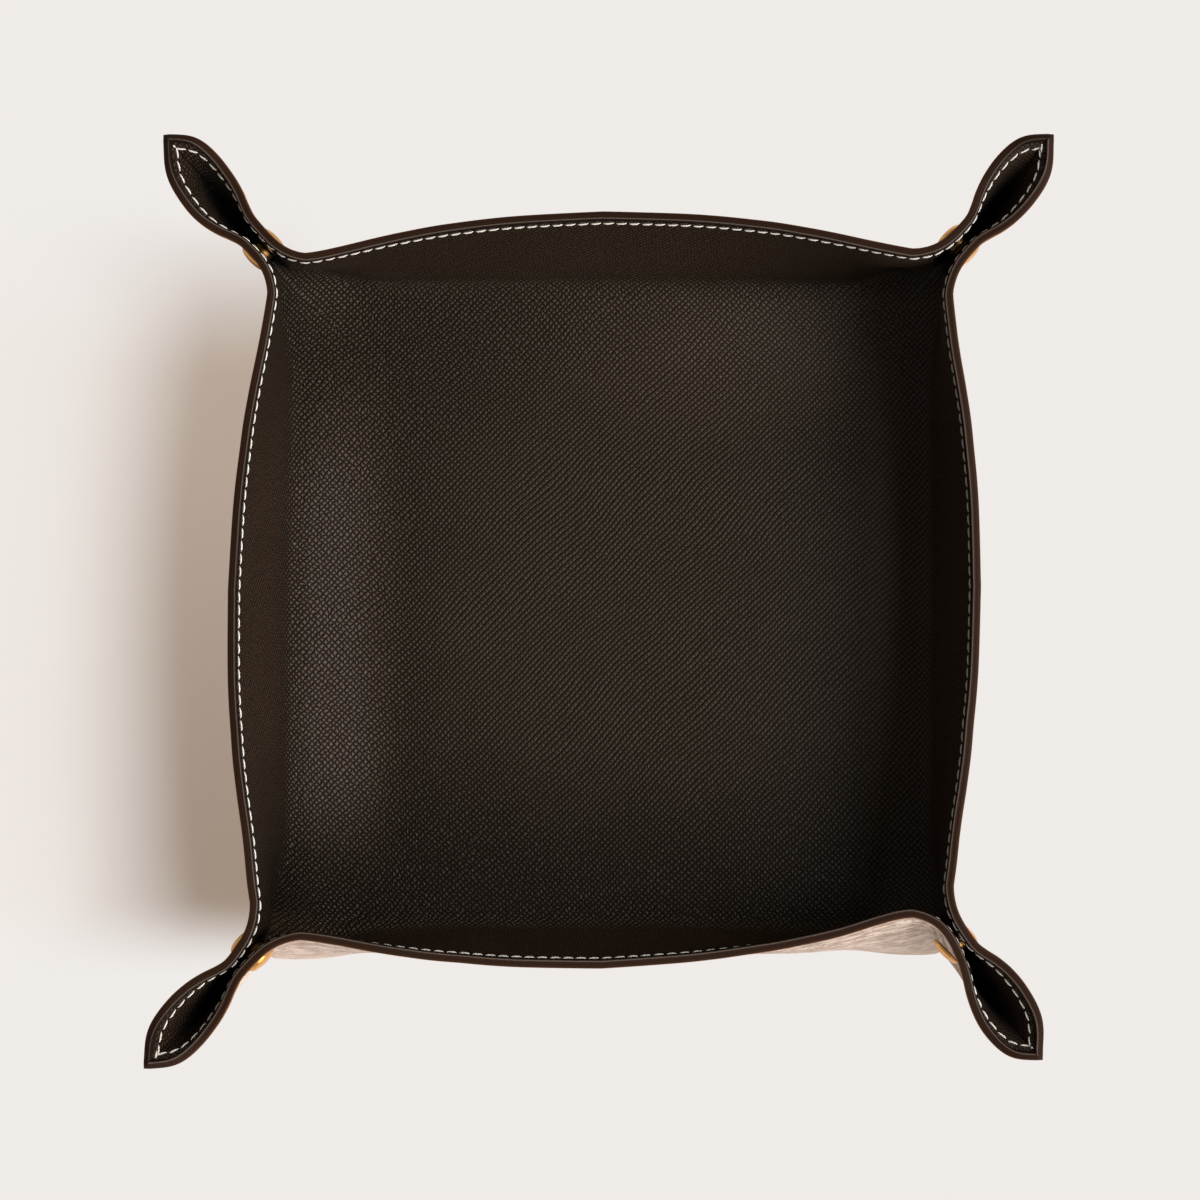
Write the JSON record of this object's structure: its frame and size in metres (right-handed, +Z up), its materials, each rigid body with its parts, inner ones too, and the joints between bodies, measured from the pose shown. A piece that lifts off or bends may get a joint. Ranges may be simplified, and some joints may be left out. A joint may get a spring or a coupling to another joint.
{
  "type": "leather snap tray",
  "caption": "Square leather tray pinched into shape by press studs at its corners; unsnaps and opens out flat.",
  "frame": {"origin": "centre of the floor's underside, on the table", "axes": "+Z up, +Y to the north wall, which is at the top of the picture, +X to the east wall"},
  "size_m": [0.2864, 0.2864, 0.0533],
  "materials": {
    "lining_leather": "very dark brown leather with a fine crossed grain",
    "outside_leather": "pale pinkish cream leather with fine wrinkles",
    "board": "grey board, hidden in the floor",
    "brass": "polished"
  },
  "bodies": {
    "floor": {"floor_outer": "outside_leather", "base_board": "board", "floor_inner": "lining_leather"},
    "wall_north": {"wall_north_inner": "lining_leather", "wall_north_outer": "outside_leather"},
    "wall_west": {"wall_west_inner": "lining_leather", "wall_west_outer": "outside_leather"},
    "wall_south": {"wall_south_inner": "lining_leather", "wall_south_outer": "outside_leather"},
    "wall_east": {"wall_east_inner": "lining_leather", "wall_east_outer": "outside_leather"},
    "ear_ne_north": {"ear_ne_north_inner": "lining_leather", "ear_ne_north_outer": "outside_leather", "snap_ne_cap": "brass", "snap_ne_socket": "brass"},
    "ear_nw_north": {"ear_nw_north_inner": "lining_leather", "ear_nw_north_outer": "outside_leather", "snap_nw_stud": "brass", "snap_nw_back_cap": "brass"},
    "ear_nw_west": {"ear_nw_west_inner": "lining_leather", "ear_nw_west_outer": "outside_leather", "snap_nw_cap": "brass", "snap_nw_socket": "brass"},
    "ear_sw_west": {"ear_sw_west_inner": "lining_leather", "ear_sw_west_outer": "outside_leather", "snap_sw_stud": "brass", "snap_sw_back_cap": "brass"},
    "ear_sw_south": {"ear_sw_south_inner": "lining_leather", "ear_sw_south_outer": "outside_leather", "snap_sw_cap": "brass", "snap_sw_socket": "brass"},
    "ear_se_south": {"ear_se_south_inner": "lining_leather", "ear_se_south_outer": "outside_leather", "snap_se_stud": "brass", "snap_se_back_cap": "brass"},
    "ear_se_east": {"ear_se_east_inner": "lining_leather", "ear_se_east_outer": "outside_leather", "snap_se_cap": "brass", "snap_se_socket": "brass"},
    "ear_ne_east": {"ear_ne_east_inner": "lining_leather", "ear_ne_east_outer": "outside_leather", "snap_ne_stud": "brass", "snap_ne_back_cap": "brass"}
  },
  "joints": [
    {"name": "fold_north", "type": "hinge", "parent": "floor", "child": "wall_north", "pos_m": [0, 0.10635, 0.0006], "axis": [-1, 0, 0], "range_deg": [0, 70]},
    {"name": "fold_west", "type": "hinge", "parent": "floor", "child": "wall_west", "pos_m": [-0.10635, 0, 0.0006], "axis": [0, -1, 0], "range_deg": [0, 70]},
    {"name": "fold_south", "type": "hinge", "parent": "floor", "child": "wall_south", "pos_m": [0, -0.10635, 0.0006], "axis": [1, 0, 0], "range_deg": [0, 70]},
    {"name": "fold_east", "type": "hinge", "parent": "floor", "child": "wall_east", "pos_m": [0.10635, 0, 0.0006], "axis": [0, 1, 0], "range_deg": [0, 70]},
    {"name": "fold_ear_ne_north", "type": "hinge", "parent": "wall_north", "child": "ear_ne_north", "pos_m": [0.10472, 0.10698, 0.0526], "axis": [-0.0238, -0.0563, -0.9981], "range_deg": [0, 36.4]},
    {"name": "fold_ear_nw_north", "type": "hinge", "parent": "wall_north", "child": "ear_nw_north", "pos_m": [-0.10472, 0.10698, 0.0526], "axis": [-0.0238, 0.0563, 0.9981], "range_deg": [0, 36.4]},
    {"name": "fold_ear_nw_west", "type": "hinge", "parent": "wall_west", "child": "ear_nw_west", "pos_m": [-0.10698, 0.10472, 0.0526], "axis": [0.0563, -0.0238, -0.9981], "range_deg": [0, 36.4]},
    {"name": "fold_ear_sw_west", "type": "hinge", "parent": "wall_west", "child": "ear_sw_west", "pos_m": [-0.10698, -0.10472, 0.0526], "axis": [-0.0563, -0.0238, 0.9981], "range_deg": [0, 36.4]},
    {"name": "fold_ear_sw_south", "type": "hinge", "parent": "wall_south", "child": "ear_sw_south", "pos_m": [-0.10472, -0.10698, 0.0526], "axis": [0.0238, 0.0563, -0.9981], "range_deg": [0, 36.4]},
    {"name": "fold_ear_se_south", "type": "hinge", "parent": "wall_south", "child": "ear_se_south", "pos_m": [0.10472, -0.10698, 0.0526], "axis": [0.0238, -0.0563, 0.9981], "range_deg": [0, 36.4]},
    {"name": "fold_ear_se_east", "type": "hinge", "parent": "wall_east", "child": "ear_se_east", "pos_m": [0.10698, -0.10472, 0.0526], "axis": [-0.0563, 0.0238, -0.9981], "range_deg": [0, 36.4]},
    {"name": "fold_ear_ne_east", "type": "hinge", "parent": "wall_east", "child": "ear_ne_east", "pos_m": [0.10698, 0.10472, 0.0526], "axis": [0.0563, 0.0238, 0.9981], "range_deg": [0, 36.4]}
  ],
  "couplings": [
    {"joint": "fold_west", "follows": "fold_north", "ratio": 1},
    {"joint": "fold_south", "follows": "fold_north", "ratio": 1},
    {"joint": "fold_east", "follows": "fold_north", "ratio": 1},
    {"joint": "fold_ear_ne_north", "follows": "fold_north", "ratio": 0.52},
    {"joint": "fold_ear_nw_north", "follows": "fold_north", "ratio": 0.52},
    {"joint": "fold_ear_nw_west", "follows": "fold_north", "ratio": 0.52},
    {"joint": "fold_ear_sw_west", "follows": "fold_north", "ratio": 0.52},
    {"joint": "fold_ear_sw_south", "follows": "fold_north", "ratio": 0.52},
    {"joint": "fold_ear_se_south", "follows": "fold_north", "ratio": 0.52},
    {"joint": "fold_ear_se_east", "follows": "fold_north", "ratio": 0.52},
    {"joint": "fold_ear_ne_east", "follows": "fold_north", "ratio": 0.52}
  ]
}
